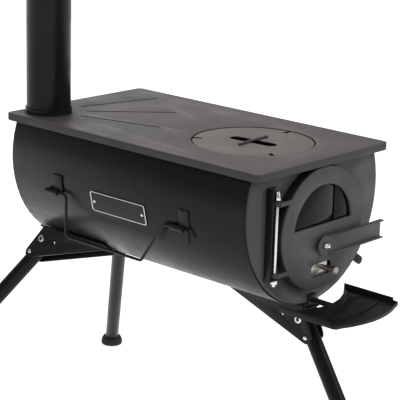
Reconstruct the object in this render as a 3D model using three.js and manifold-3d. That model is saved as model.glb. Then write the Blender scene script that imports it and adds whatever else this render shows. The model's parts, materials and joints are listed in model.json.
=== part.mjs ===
// Tent wood stove: an oval sheet-steel firebox under a flat hotplate, with a round door, a lift-off
// cooking lid, a plug-in flue pipe, an ash shelf, two bail handles and three folding legs.
// Millimetres, +Z up. The door faces -Y and the floor is at Z = 0.
import * as THREE from 'three';
import * as BufferGeometryUtils from 'three/addons/utils/BufferGeometryUtils.js';
import Module from 'manifold-3d';

const wasm = await Module();
wasm.setup();

const degrees = Math.PI / 180;
const facets = { large: 48, medium: 28, small: 16, fine: 10 };   // sides of a round thing

// ---------------------------------------------------------------- driving dimensions
const seatGap = 0.3;               // clearance between pieces that touch

// Hotplate
const hotplateHeight = 545;        // floor to the cooking surface
const hotplateWidth = 300;
const hotplateLength = 526;
const hotplateSheet = 3;
const hotplateFlange = 12;         // depth of the folded-down edge
const hotplateCorner = 9;
const grooveWidth = 5;
const grooveDepth = 1.2;
const grooveFocusSetback = 10;     // the grooves point at a place this far behind the flue
const grooveStart = 67;            // distances from that place
const grooveEnd = 211;
const grooveAngles = [-14, -44.5, -75];

// Firebox
const fireboxSideBulge = 0.5;      // firebox past the hotplate's long edges
const fireboxHalfHeight = 156;
const fireboxAxisDrop = 68;        // cooking surface down to the oval's centre
const fireboxSheet = 2;
const fireboxFrontOverhang = 22;   // hotplate edge to the firebox sheet
const fireboxRearOverhang = 16;
const endPlateSheet = 2;
const endPlateProud = 5;           // how far an end plate stands out of the firebox sheet
const endPlateLip = 11;
const endPlateClearance = 0.5;
const endPlateBevel = 2;

// Lid
const lidHoleRadius = 93;
const lidSetback = 139;            // hotplate's front edge to the lid's centre
const lidClearance = 2;
const lidSheet = 2.2;              // thinner than the hotplate, so the lid lies a little lower
const lidTurn = 5;                 // how far the lid happens to be turned, in degrees
const lidSlotLength = 82;
const lidSlotWidth = 20;
const lidCupDepth = 13;
const lidCupSheet = 1.2;
const lidCupMargin = 8;            // cup's wall outside the slot's edge
const lidBarDiameter = 4;
const lidBarLength = 72;
const lidEdgeBreak = 0.6;
const lidNotchDepth = 14;
const lidNotchWidth = 6.5;
const lidNotchAngles = [3, 124, 239];
const lidLedge = 10;
const lidRingSheet = 2.5;

// Flue
const fluePipeDiameter = 70;
const fluePipeWall = 1.2;
const fluePipeLength = 330;
const flueSpigotLength = 32;       // the narrower top end that takes the next pipe
const flueSpigotStep = 1.8;
const flueInsetLeft = 54;          // hotplate's left edge to the flue's axis
const flueInsetRear = 41;
const flueCollarHeight = 9;
const flueCollarWall = 1.5;
const flueClearance = 0.4;
const flueLedge = 8;

// Door
const doorRadius = 92.2;
const doorDrop = 105;              // cooking surface to the door's centre
const doorSheet = 3;
const doorEdgeBreak = 0.8;
const doorCollarDepth = 12.9;      // how far the collar stands out of the front plate
const doorCollarWall = 2;
const doorCollarRadius = 93;
const doorCollarFlange = 5;
const windowRadius = 66;
const windowSill = 6;              // height of the window's flat bottom over the door's centre
const glassLap = 6;
const glassThickness = 4;
const glassSplit = 26;             // where the two panes meet, right of the centre
const glassSplitGap = 4;
const retainerSheet = 1.5;
const retainerLap = 7;

// Door hinge
const hingeRodDiameter = 6;
const hingeRodOffset = 98;         // left of the stove's middle plane
const hingeRodProud = 8.7;         // in front of the front plate
const hingeEyeWall = 2.2;
const hingeEyeHeight = 6;
const hingeTabLap = 10;            // how far a strap runs onto the door
const hingeUpperEyeRise = 50;      // over the door's centre
const hingeLowerEyeDrop = 49;
const hingeClearance = 0.35;
const hingeLugSheet = 2.5;
const hingeSpineSheet = 2;
const hingeSpineOverrun = 20;      // above the upper lug
const hingeSpineOffset = 6;        // eyes to the spine
const hingeSpineReach = 4;         // spine's edge in front of the rod's axis
const acornNutHeight = 14;
const hexNutHeight = 6;
const hingeRodProudTop = 7;        // rod inside the cap nut
const hingeRodTail = 4;            // rod below the lower nut
const hexNutAcross = 10;

// Latch and air slider
const latchDrop = 25;              // pivot below the door's centre
const latchReach = 133;
const latchWidth = 28;
const latchEndRadius = 15;
const latchTaper = 1;              // the handle's sides close in by this much at its tip
const latchSheet = 2;
const latchFlange = 7;
const latchFlangeStart = 9;
const latchReliefRadius = 1.8;
const latchStandoff = 4;
const latchBossRadius = 9;
const latchSpindleDiameter = 7.4;
const latchCamWidth = 16;
const latchCamClearance = 7;
const latchNutAcross = 13;
const latchNutHeight = 5;
const latchCamDepth = 16.5;        // door's back to the cam
const airSlotLength = 46;
const airSlotHeight = 20;
const airSlotCorner = 7;
const airSlotDrop = 62;            // slot's centre below the door's centre
const airSliderSheet = 1.5;
const airSliderLap = 3;
const airSliderTail = 3;
const airSliderOpening = 5;        // part of the slot that stays open
const airKnobDiameter = 12.4;
const airKnobStem = 5.2;
const airKnobLength = 20;
const airKnobHead = 4;
const airKnobInset = 7.5;          // slider's right end to the knob
const airGuideFoot = 3;
const airGuideLength = 84;

// Ash shelf
const shelfWidth = 152;
const shelfReach = 126;            // front plate to the shelf's front edge
const shelfDrop = 217;             // cooking surface to the shelf
const shelfSheet = 1.5;
const shelfLip = 8;
const shelfCornerRadius = 9;
const shelfFrontBulge = 20;
const shelfRearGap = 3;            // front plate to the shelf's rear corners
const shelfRearArc = 31;           // how far the rear edge curves away between them
const shelfRibWidth = 5;
const shelfRibHeight = 3;
const shelfRibShare = 0.76;        // curved rib's length as a share of the shelf's width
const shelfRibSetback = 26;        // front corners to the curved rib's ends
const shelfSideRibPlace = 0.3;     // short rib's middle as a share of the shelf's width
const shelfSideRibLength = 26;
const shelfSideRibDepth = 46;      // front plate to the short rib
const shelfHookWidth = 18;
const shelfHookSheet = 2;
const shelfHookRise = 6;
const shelfHookDrop = 10;
const shelfHookFoot = 5;
const shelfHookDepth = 9;

// Name plate, clips and bail handles
const namePlateLength = 116;
const namePlateCentre = 11;        // behind the hotplate's middle
const namePlateAngles = [7.2, 19.6];
const namePlateSheet = 1;
const namePlateRivetRadius = 2.4;
const namePlateRivetInset = 7.5;
const clipSheet = 1.6;
const clipWidth = 20;
const clipAngles = [3.6, 13.5];
const clipRollLength = 26;
const clipRollShift = 11;          // roll's centre behind the clip plate's centre
const clipStations = [141.5, -126];
const bailWireDiameter = 4.6;
const bailWireClearance = 0.5;
const bailPivotAngle = 14.2;
const bailDrop = 66;
const bailEndDrop = 18;
const bailSlopeLength = 60;
const bailTail = 4;                // wire past the rear roll
const bailCornerReach = 18;        // rear roll to the square corner
const bailKnee = 14;               // front roll to the slope's upper end
const bailHook = 10;               // front roll to the hooked end
const bailBends = [7, 8, 14, 9, 4];

// Legs
const rearTilt = 29;               // sideways lean of the rear legs' brackets, from the vertical
const legDiameter = 24;
const legWall = 1.5;
const legTop = 35;                 // pivot to the leg's rounded top end
const legClearance = 0.8;          // between a leg and each cheek
const cheekSheet = 2.5;
const bracketLength = 150;
const bracketEndRadius = 10;
const cheekTipHeight = 6;          // cheek's depth at its thin end
const cheekShoulder = 8;           // pivot to the cheek's top corner, along the stove
const saddleSheet = 2.5;
const saddleFlange = 9;
const saddleOverrun = 6;           // saddle past the cheeks' thin end
const rearPivotDepth = 46;         // firebox surface to the pivot
const frontPivotDepth = 49;
const legPivotInset = 11.5;        // hotplate's front and rear edges to the pivots
const rearSplay = 29;              // how far a leg leans out of upright, along its bracket
const frontSplay = 31.5;
const lockRadius = 29;             // pivot to the lock hole
const lockRingRadius = 6.5;
const lockHoleRadius = 3.6;
const lockRingWall = 1.4;
const cheekHoleRadius = 3.6;
const cheekHolePlace = [-46, 27];
const pivotDiameter = 6;
const pivotHeadRadius = 3.8;
const footRadius = 20;
const footHeight = 24;
const footSole = 3;

// ---------------------------------------------------------------- derived places
const fireboxHalfWidth = hotplateWidth / 2 + fireboxSideBulge;
const plateUnderside = hotplateHeight - hotplateSheet;
const axisHeight = hotplateHeight - fireboxAxisDrop;
const frontEdge = -hotplateLength / 2;
const rearEdge = hotplateLength / 2;
const fireboxFront = frontEdge + fireboxFrontOverhang;
const fireboxRear = rearEdge - fireboxRearOverhang;
const frontFace = fireboxFront - endPlateProud;
const rearFace = fireboxRear + endPlateProud;
const doorHeight = hotplateHeight - doorDrop;
const collarFace = frontFace - doorCollarDepth;
const doorBack = collarFace - seatGap;
const doorFace = doorBack - doorSheet;
const lidCentreY = frontEdge + lidSetback;
const flueX = -hotplateWidth / 2 + flueInsetLeft;
const flueY = rearEdge - flueInsetRear;

const materials = {
  black: new THREE.MeshStandardMaterial({ color: 0x47474a, roughness: 0.62, metalness: 0.25 }),
  plate: new THREE.MeshStandardMaterial({ color: 0x6a6764, roughness: 0.55, metalness: 0.25 }),
  inner: new THREE.MeshStandardMaterial({ color: 0x222222, roughness: 0.8, metalness: 0.2 }),
  steel: new THREE.MeshStandardMaterial({ color: 0xc9c6c0, roughness: 0.3, metalness: 1 }),
  glass: new THREE.MeshStandardMaterial({
    color: 0x50524f, roughness: 0.1, metalness: 0, transparent: true, opacity: 0.45,
  }),
  rubber: new THREE.MeshStandardMaterial({ color: 0x2b2b2b, roughness: 0.9, metalness: 0 }),
};

const stove = new THREE.Group();
const model = new THREE.Group();
model.add(stove);

// ---------------------------------------------------------------- making solids
const alongX = new THREE.Matrix4().makeBasis(
  new THREE.Vector3(0, 1, 0), new THREE.Vector3(0, 0, 1), new THREE.Vector3(1, 0, 0));
const alongY = new THREE.Matrix4().makeBasis(
  new THREE.Vector3(1, 0, 0), new THREE.Vector3(0, 0, 1), new THREE.Vector3(0, -1, 0));
const alongZ = new THREE.Matrix4();

// Extrudes an outline from one place to another: (y, z) along X, (x, z) along Y or (x, y) along Z.
function extrude(outline, direction, from, to, options = {}) {
  const bevel = options.bevel ?? 0;
  const geometry = new THREE.ExtrudeGeometry(outline, {
    depth: to - from - 2 * bevel,
    curveSegments: options.segments ?? 12,
    bevelEnabled: bevel > 0,
    bevelThickness: bevel,
    bevelSize: bevel,
    bevelOffset: -bevel,
    bevelSegments: 1,
  });
  geometry.translate(0, 0, bevel);
  geometry.applyMatrix4(direction);
  if (direction === alongX) geometry.translate(from, 0, 0);
  if (direction === alongY) geometry.translate(0, to, 0);
  if (direction === alongZ) geometry.translate(0, 0, from);
  return geometry;
}

// Turns a profile of [radius, height] points about an axis that leaves the origin towards `to`.
function turn(profile, to = new THREE.Vector3(0, 0, 1), segments = facets.small) {
  const geometry = new THREE.LatheGeometry(profile.map(([r, h]) => new THREE.Vector2(r, h)), segments);
  const rotation = new THREE.Quaternion().setFromUnitVectors(new THREE.Vector3(0, 1, 0), to);
  geometry.applyQuaternion(rotation);
  return geometry;
}

function rod(radius, from, to, direction, segments = facets.small) {
  return turn([[0, from], [radius, from], [radius, to], [0, to]], direction, segments);
}

function ring(inner, outer, from, to, direction, segments = facets.medium) {
  const profile = [[inner, from], [outer, from], [outer, to], [inner, to], [inner, from]];
  return turn(profile, direction, segments);
}

function block(x0, x1, y0, y1, z0, z1) {
  const geometry = new THREE.BoxGeometry(x1 - x0, y1 - y0, z1 - z0);
  return geometry.translate((x0 + x1) / 2, (y0 + y1) / 2, (z0 + z1) / 2);
}

function moved(geometry, x, y, z) {
  return geometry.translate(x, y, z);
}

function solid(geometry) {
  const bare = geometry.clone();
  bare.deleteAttribute('normal');
  bare.deleteAttribute('uv');
  const merged = BufferGeometryUtils.mergeVertices(bare, 1e-4);
  const position = merged.getAttribute('position');
  let made = new wasm.Manifold(new wasm.Mesh({
    numProp: 3,
    vertProperties: new Float32Array(position.array),
    triVerts: new Uint32Array(merged.getIndex().array),
  }));
  if (made.volume() < 0) {
    const index = merged.getIndex().array;
    const flipped = new Uint32Array(index.length);
    for (let i = 0; i < index.length; i += 3) flipped.set([index[i], index[i + 2], index[i + 1]], i);
    made = new wasm.Manifold(new wasm.Mesh({
      numProp: 3, vertProperties: new Float32Array(position.array), triVerts: flipped,
    }));
  }
  return made;
}

const join = (first, ...others) => others.reduce((sum, other) => sum.add(solid(other)), solid(first));
const cut = (whole, ...tools) => tools.reduce((rest, tool) => rest.subtract(solid(tool)), whole);

function geometryOf(body) {
  const mesh = body.getMesh();
  const geometry = new THREE.BufferGeometry();
  geometry.setAttribute('position', new THREE.BufferAttribute(new Float32Array(mesh.vertProperties), 3));
  geometry.setIndex(new THREE.BufferAttribute(new Uint32Array(mesh.triVerts), 1));
  geometry.computeVertexNormals();
  return geometry;
}

function add(name, shape, material, group = stove) {
  const geometry = shape.isBufferGeometry ? geometryOf(solid(shape)) : geometryOf(shape);
  const mesh = new THREE.Mesh(geometry, material);
  mesh.name = name;
  group.add(mesh);
  return mesh;
}

const X = new THREE.Vector3(1, 0, 0);
const Y = new THREE.Vector3(0, 1, 0);
const Z = new THREE.Vector3(0, 0, 1);
const forward = new THREE.Vector3(0, -1, 0);

// ---------------------------------------------------------------- outlines
function circle(x, y, radius) {
  return new THREE.Shape().absarc(x, y, radius, 0, 2 * Math.PI, false);
}

function roundedRectangle(x0, y0, x1, y1, radius) {
  return new THREE.Shape()
    .moveTo(x0 + radius, y0)
    .lineTo(x1 - radius, y0).absarc(x1 - radius, y0 + radius, radius, -Math.PI / 2, 0, false)
    .lineTo(x1, y1 - radius).absarc(x1 - radius, y1 - radius, radius, 0, Math.PI / 2, false)
    .lineTo(x0 + radius, y1).absarc(x0 + radius, y1 - radius, radius, Math.PI / 2, Math.PI, false)
    .lineTo(x0, y0 + radius).absarc(x0 + radius, y0 + radius, radius, Math.PI, 1.5 * Math.PI, false);
}

// A point of the firebox's oval, moved out along its normal. The angle runs down from the widest
// place towards the bottom; side is -1 for the left and 1 for the right.
function ovalPoint(angle, side, offset = 0) {
  const t = angle * degrees;
  const x = fireboxHalfWidth * Math.cos(t);
  const z = -fireboxHalfHeight * Math.sin(t);
  const normal = new THREE.Vector2(x / fireboxHalfWidth ** 2, z / fireboxHalfHeight ** 2).normalize();
  return new THREE.Vector2(side * (x + offset * normal.x), axisHeight + z + offset * normal.y);
}

// A strip that follows the firebox's oval between two angles.
function ovalStrip(angles, side, inner, outer, steps = 6) {
  const points = [];
  for (let i = 0; i <= steps; i += 1) {
    points.push(ovalPoint(THREE.MathUtils.lerp(angles[0], angles[1], i / steps), side, inner));
  }
  for (let i = steps; i >= 0; i -= 1) {
    points.push(ovalPoint(THREE.MathUtils.lerp(angles[0], angles[1], i / steps), side, outer));
  }
  return new THREE.Shape(points);
}

// The oval shrunk by an inset and cut off flat at a height, as [x, z] points.
function ovalOutline(inset, top, steps = 36) {
  const a = fireboxHalfWidth - inset;
  const b = fireboxHalfHeight - inset;
  const start = Math.asin(Math.min(1, (top - axisHeight) / b));
  const points = [];
  for (let i = 0; i <= steps; i += 1) {
    const t = THREE.MathUtils.lerp(start, -Math.PI - start, i / steps);
    points.push(new THREE.Vector2(a * Math.cos(t), axisHeight + b * Math.sin(t)));
  }
  return points;
}

// ---------------------------------------------------------------- firebox
function fireboxShell() {
  const top = plateUnderside - seatGap;
  const outer = ovalOutline(0, top);
  const inner = ovalOutline(fireboxSheet, top).reverse();
  return extrude(new THREE.Shape([...outer, ...inner]), alongY, fireboxFront, fireboxRear);
}

// A pressed pan: a face with a rounded edge and a lip that slips inside the firebox sheet.
function endPan(face, inward) {
  const top = plateUnderside - seatGap;
  const inset = fireboxSheet + endPlateClearance;
  const outside = new THREE.Shape(ovalOutline(inset, top));
  const inside = new THREE.Shape(ovalOutline(inset + endPlateSheet, top - endPlateSheet));
  const from = inward > 0 ? face : face - endPlateLip;
  const to = inward > 0 ? face + endPlateLip : face;
  const bevelled = extrude(outside, alongY, from, to, { bevel: endPlateBevel });
  const backTrim = inward > 0
    ? extrude(inside, alongY, face + endPlateSheet, to + 1)
    : extrude(inside, alongY, from - 1, face - endPlateSheet);
  return cut(solid(bevelled), backTrim);
}

function frontPlate() {
  const slotTop = hotplateHeight - shelfDrop + shelfHookRise + shelfHookSheet + 2 * seatGap;
  const slotHalf = shelfHookWidth / 2 + 2 * seatGap;
  const slotBottom = slotTop - shelfHookSheet - 4 * seatGap;
  return cut(
    endPan(frontFace, 1),
    moved(rod(doorCollarRadius + seatGap, -1, endPlateSheet + 1, Y, facets.large), 0, frontFace, doorHeight),
    block(-slotHalf, slotHalf, frontFace - 1, frontFace + endPlateSheet + 1, slotBottom, slotTop),
  );
}

// Its top lip is notched where the flue opens.
function rearPlate() {
  const notch = rod(fluePipeDiameter / 2 - flueLedge + seatGap, -endPlateSheet - 1, 1, Z, facets.medium);
  return cut(endPan(rearFace, -1), moved(notch, flueX, flueY, plateUnderside - seatGap));
}

// ---------------------------------------------------------------- hotplate
function hotplate() {
  const halfWidth = hotplateWidth / 2;
  const wall = hotplateSheet - 0.5;
  const outline = roundedRectangle(-halfWidth, frontEdge, halfWidth, rearEdge, hotplateCorner);
  const hollow = roundedRectangle(-halfWidth + wall, frontEdge + wall, halfWidth - wall,
    rearEdge - wall, hotplateCorner - wall);
  const bottom = hotplateHeight - hotplateFlange;
  const tray = cut(
    solid(extrude(outline, alongZ, bottom, hotplateHeight, { bevel: 1, segments: 3 })),
    extrude(hollow, alongZ, bottom - 1, plateUnderside, { segments: 3 }),
    moved(rod(lidHoleRadius, -hotplateFlange, 1, Z, facets.large), 0, lidCentreY, hotplateHeight),
    moved(rod(fluePipeDiameter / 2 - flueLedge, -hotplateFlange, 1, Z, facets.medium), flueX, flueY,
      hotplateHeight),
  );
  const grooves = grooveAngles.map((angle) => {
    const slot = roundedRectangle(grooveStart, -grooveWidth / 2, grooveEnd, grooveWidth / 2,
      grooveWidth / 2 - 0.01);
    const groove = extrude(slot, alongZ, hotplateHeight - grooveDepth, hotplateHeight + 1, { segments: 2 });
    return groove.rotateZ(angle * degrees).translate(flueX, flueY + grooveFocusSetback, 0);
  });
  return cut(tray, ...grooves);
}

// ---------------------------------------------------------------- lid
// A slot with round ends, lengthwise along Y.
function slotOutline(length, width) {
  return roundedRectangle(-width / 2, -length / 2, width / 2, length / 2, width / 2 - 0.01);
}

function makeLid() {
  const lidGroup = new THREE.Group();
  lidGroup.position.set(0, lidCentreY, hotplateHeight);
  lidGroup.rotation.z = lidTurn * degrees;
  stove.add(lidGroup);

  const radius = lidHoleRadius - lidClearance;
  const slot = slotOutline(lidSlotLength, lidSlotWidth);
  const notches = lidNotchAngles.map((angle) => block(radius - lidNotchDepth, radius + 1,
    -lidNotchWidth / 2, lidNotchWidth / 2, -hotplateSheet - 1, 1).rotateZ((angle - lidTurn) * degrees));
  const barGroove = rod(lidBarDiameter / 2 + seatGap, -lidBarLength / 2 - seatGap,
    lidBarLength / 2 + seatGap, X, facets.fine);
  const top = lidSheet - hotplateSheet;
  const disc = turn([[0, -hotplateSheet], [radius, -hotplateSheet], [radius, top - lidEdgeBreak],
    [radius - lidEdgeBreak, top], [0, top]], Z, facets.large);
  add('lid', cut(solid(disc), extrude(slot, alongZ, -hotplateSheet - 1, 1, { segments: 8 }),
    moved(barGroove, 0, 0, lidBarDiameter / 4), ...notches), materials.plate, lidGroup);

  const bar = rod(lidBarDiameter / 2, -lidBarLength / 2, lidBarLength / 2, X, facets.fine);
  add('lid_bar', moved(bar, 0, 0, lidBarDiameter / 4), materials.black, lidGroup);

  const outside = 2 * lidCupMargin;
  const inside = outside - 2 * lidCupSheet;
  const rim = slotOutline(lidSlotLength + outside, lidSlotWidth + outside);
  const well = slotOutline(lidSlotLength + inside, lidSlotWidth + inside);
  const cupTop = -hotplateSheet - seatGap;
  add('lid_cup', cut(
    solid(extrude(rim, alongZ, cupTop - lidCupDepth, cupTop, { segments: 8 })),
    extrude(well, alongZ, cupTop - lidCupDepth + lidCupSheet, cupTop + 1, { segments: 8 }),
  ), materials.inner, lidGroup);
}

function lidRing() {
  const top = plateUnderside - seatGap;
  return moved(ring(lidHoleRadius - lidLedge, lidHoleRadius + lidLedge, top - lidRingSheet, top, Z,
    facets.large),
    0, lidCentreY, 0);
}

// ---------------------------------------------------------------- flue
function flueCollar() {
  const inner = fluePipeDiameter / 2 + flueClearance;
  return moved(ring(inner, inner + flueCollarWall, seatGap, flueCollarHeight, Z), flueX, flueY,
    hotplateHeight);
}

function fluePipe() {
  const outer = fluePipeDiameter / 2;
  const inner = outer - fluePipeWall;
  const top = fluePipeLength;
  const shoulder = top - flueSpigotLength;
  const profile = [
    [inner, seatGap], [outer, seatGap], [outer, shoulder], [outer - flueSpigotStep, shoulder + 5],
    [outer - flueSpigotStep, top], [inner - flueSpigotStep, top], [inner - flueSpigotStep, shoulder + 5],
    [inner, shoulder], [inner, seatGap],
  ];
  return moved(turn(profile, Z, facets.medium), flueX, flueY, hotplateHeight);
}

// ---------------------------------------------------------------- door
function doorCollar() {
  const flangeFront = endPlateSheet + seatGap;
  const flangeBack = flangeFront + doorCollarWall;
  const inner = doorCollarRadius - doorCollarWall;
  const profile = [
    [inner, -doorCollarDepth], [doorCollarRadius, -doorCollarDepth], [doorCollarRadius, flangeFront],
    [doorCollarRadius + doorCollarFlange, flangeFront], [doorCollarRadius + doorCollarFlange, flangeBack],
    [inner, flangeBack], [inner, -doorCollarDepth],
  ];
  return moved(turn(profile, Y, facets.large), 0, frontFace, doorHeight);
}

const hingeX = -hingeRodOffset;
const hingeY = frontFace - hingeRodProud;
const eyeRadius = hingeRodDiameter / 2 + hingeClearance + hingeEyeWall;
const upperEye = doorHeight + hingeUpperEyeRise;
const lowerEye = doorHeight - hingeLowerEyeDrop - hingeEyeHeight;

function windowOutline(radius, sill) {
  const start = Math.asin(sill / radius);
  return new THREE.Shape().absarc(0, 0, radius, start, Math.PI - start, false);
}

function doorPanel() {
  const disc = turn([[0, 0], [doorRadius, 0], [doorRadius, doorSheet - doorEdgeBreak],
    [doorRadius - doorEdgeBreak, doorSheet], [0, doorSheet]], forward, facets.large);
  let panel = solid(moved(disc, 0, doorBack, doorHeight));
  for (const bottom of [upperEye, lowerEye]) {
    const tabEnd = -Math.sqrt(doorRadius ** 2 - (bottom + hingeEyeHeight - doorHeight) ** 2)
      + hingeTabLap;
    const tab = block(hingeX, tabEnd, doorFace, doorBack, bottom, bottom + hingeEyeHeight);
    const eye = moved(rod(eyeRadius, 0, hingeEyeHeight, Z), hingeX, hingeY, bottom);
    panel = panel.add(solid(tab)).add(solid(eye));
    panel = cut(panel, moved(rod(hingeRodDiameter / 2 + hingeClearance, -1, hingeEyeHeight + 1, Z),
      hingeX, hingeY, bottom));
  }
  const openings = [
    [windowOutline(windowRadius, windowSill), 12],
    [roundedRectangle(-airSlotLength / 2, -airSlotDrop - airSlotHeight / 2, airSlotLength / 2,
      -airSlotDrop + airSlotHeight / 2, airSlotCorner), 4],
    [circle(0, -latchDrop, latchSpindleDiameter / 2 + hingeClearance), 8],
  ];
  return cut(panel, ...openings.map(([outline, segments]) => moved(
    extrude(outline, alongY, doorFace - 1, doorBack + 1, { segments }), 0, 0, doorHeight)));
}

const glassFront = doorBack + seatGap;
const retainerFront = glassFront + glassThickness + seatGap;

function glassPane(from, to) {
  const outline = windowOutline(windowRadius + glassLap, windowSill - glassLap);
  const half = solid(moved(extrude(outline, alongY, glassFront, glassFront + glassThickness,
    { segments: 12 }), 0, 0, doorHeight));
  const keep = block(from, to, glassFront - 1, glassFront + glassThickness + 1, doorHeight - 10,
    doorHeight + windowRadius + 2 * glassLap);
  return half.intersect(solid(keep));
}

function glassRetainer() {
  const outer = windowRadius + glassLap + retainerLap;
  const outline = windowOutline(outer, windowSill - glassLap - retainerLap);
  outline.holes.push(windowOutline(windowRadius - 2, windowSill + 2));
  const sheet = extrude(outline, alongY, retainerFront, retainerFront + retainerSheet, { segments: 12 });
  const rimOutline = windowOutline(outer, windowSill - glassLap - retainerLap);
  rimOutline.holes.push(windowOutline(outer - retainerSheet, windowSill - glassLap - retainerLap
    + retainerSheet));
  const rim = extrude(rimOutline, alongY, glassFront, retainerFront + retainerSheet / 2, { segments: 12 });
  return solid(moved(sheet, 0, 0, doorHeight)).add(solid(moved(rim, 0, 0, doorHeight)));
}

// ---------------------------------------------------------------- door hinge
const lugTop = upperEye + hingeEyeHeight + seatGap;
const lugBottom = lowerEye - seatGap - hingeLugSheet;

function hingeBracket() {
  const back = frontFace - seatGap;
  const spineX = hingeX - eyeRadius - hingeSpineOffset;
  const front = hingeY - hingeRodDiameter;
  const low = lugBottom - hingeLugSheet;
  const high = lugTop + hingeSpineOverrun;
  const lugEnd = hingeX + hingeRodDiameter;
  const collarClear = -doorCollarRadius - 1;
  const lugs = [lugTop, lugBottom].map((z) => block(spineX - hingeSpineSheet, lugEnd, front, back, z,
    z + hingeLugSheet));
  const spine = block(spineX - hingeSpineSheet, spineX, hingeY - hingeSpineReach, back, low, high);
  const base = block(spineX - hingeSpineSheet, collarClear, back - hingeSpineSheet, back, low, high);
  const hole = moved(rod(hingeRodDiameter / 2 + hingeClearance, low - 1, high + 1, Z), hingeX, hingeY, 0);
  return cut(join(spine, base, ...lugs), hole);
}

const nutSeat = lugTop + hingeLugSheet + seatGap;
const nutFloor = lugBottom - seatGap - hexNutHeight;

function hingeRod() {
  return moved(rod(hingeRodDiameter / 2, nutFloor - hingeRodTail, nutSeat + hingeRodProudTop, Z), hingeX, hingeY, 0);
}

function hexagon(across) {
  const points = [];
  for (let i = 0; i < 6; i += 1) {
    const angle = (i + 0.5) * 60 * degrees;
    const corner = across / 2 / Math.cos(30 * degrees);
    points.push(new THREE.Vector2(corner * Math.cos(angle), corner * Math.sin(angle)));
  }
  return new THREE.Shape(points);
}

// A cap nut that stands on the rod's upper end; its bore is blind.
function acornNut() {
  const bore = hingeRodDiameter / 2 + hingeClearance;
  const flat = hexNutHeight;
  const dome = turn([[0, 0], [hexNutAcross / 2 - 0.4, 0], [hexNutAcross / 2 - 0.4, flat],
    [4.4, flat + 3], [3.1, flat + 6], [1.4, acornNutHeight - 0.4], [0, acornNutHeight]], Z);
  const hex = extrude(hexagon(hexNutAcross), alongZ, 0, flat);
  const blind = rod(bore, -1, hingeRodProudTop + 1, Z);
  return cut(join(hex, dome), blind).translate([hingeX, hingeY, nutSeat]);
}

function hingeNut() {
  const bore = rod(hingeRodDiameter / 2 + hingeClearance, -1, hexNutHeight + 1, Z);
  const body = cut(solid(extrude(hexagon(hexNutAcross), alongZ, 0, hexNutHeight)), bore);
  return body.translate([hingeX, hingeY, nutFloor]);
}

// ---------------------------------------------------------------- latch
const latchZ = doorHeight - latchDrop;
const handleBack = doorFace - latchStandoff;
const handleFront = handleBack - latchSheet;
const camFront = doorBack + latchCamDepth;

function latchHandle() {
  const half = latchWidth / 2;
  const blend = Math.acos(half / latchEndRadius);
  const outline = new THREE.Shape()
    .moveTo(latchReach, half - latchTaper)
    .lineTo(latchEndRadius * Math.sin(blend), half)
    .absarc(0, 0, latchEndRadius, Math.PI / 2 - blend, 1.5 * Math.PI + blend, false)
    .lineTo(latchReach, -half + latchTaper);
  const web = extrude(outline, alongY, handleFront, handleBack, { segments: 8 });
  const boss = rod(latchBossRadius, handleFront + latchSheet / 2, doorFace - seatGap, Y);
  const flanges = [1, -1].map((side) => {
    const inner = half - latchSheet;
    const z0 = side > 0 ? inner : -half + 0.01;
    const z1 = side > 0 ? half - 0.01 : -inner;
    const wing = new THREE.Shape()
      .moveTo(latchFlangeStart, 0)
      .lineTo(latchReach, 0)
      .lineTo(latchReach, -latchFlange)
      .lineTo(latchFlangeStart + latchFlange, -latchFlange);
    return extrude(wing, alongZ, z0, z1).translate(0, handleFront + latchSheet / 2, 0);
  });
  const reliefs = [1, -1].map((side) => moved(
    rod(latchReliefRadius, handleFront - latchFlange, handleBack + 1, Y, facets.fine),
    latchFlangeStart - latchReliefRadius, 0, side * (half - 0.2)));
  const bore = rod(latchSpindleDiameter / 2 + seatGap, handleFront - 1, doorFace, Y);
  return cut(join(web, boss, ...flanges), ...reliefs, bore).translate([0, 0, latchZ]);
}

// The spindle carries a domed head outside and a threaded end inside.
function latchSpindle() {
  const shaft = latchSpindleDiameter / 2;
  const head = handleFront - seatGap;
  const inner = camFront + latchSheet + latchNutHeight + 2;
  const profile = [[0, -head + 8], [2.6, -head + 7.2], [4.6, -head + 5], [5.4, -head + 2.6], [5.6, -head],
    [shaft, -head], [shaft, -inner], [0, -inner]];
  return moved(turn(profile.reverse(), forward), 0, 0, latchZ);
}

function latchCam() {
  const opening = doorCollarRadius - doorCollarWall;
  const reach = Math.sqrt(opening ** 2 - latchDrop ** 2) - latchCamClearance;
  const half = latchCamWidth / 2;
  const tipDrop = reach - 2.5;
  const outline = new THREE.Shape()
    .moveTo(tipDrop, -half + 3)
    .lineTo(reach, half - 5)
    .lineTo(reach - 4, half)
    .lineTo(0, half)
    .absarc(0, 0, half, Math.PI / 2, 1.5 * Math.PI, false)
    .lineTo(tipDrop - 6, -half);
  const blade = extrude(outline, alongY, camFront, camFront + latchSheet, { segments: 6 });
  const bore = rod(latchSpindleDiameter / 2 + seatGap, camFront - 1, camFront + latchSheet + 1, Y);
  return cut(solid(blade), bore).translate([0, 0, latchZ]);
}

function latchNut() {
  const from = camFront + latchSheet + seatGap;
  const body = cut(solid(extrude(hexagon(latchNutAcross), alongY, from, from + latchNutHeight)),
    rod(latchSpindleDiameter / 2 + seatGap, from - 1, from + latchNutHeight + 1, Y));
  return body.translate([0, 0, latchZ]);
}

// ---------------------------------------------------------------- air slider
const airZ = doorHeight - airSlotDrop;
const airRight = airSlotLength / 2 - airSliderOpening;
const airLeft = -airSlotLength / 2 - airSliderTail;
const airHalf = airSlotHeight / 2 + airSliderLap;
const sliderFront = doorBack + seatGap;
const sliderBack = sliderFront + airSliderSheet;
const airKnobX = airRight - airKnobInset;

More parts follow.
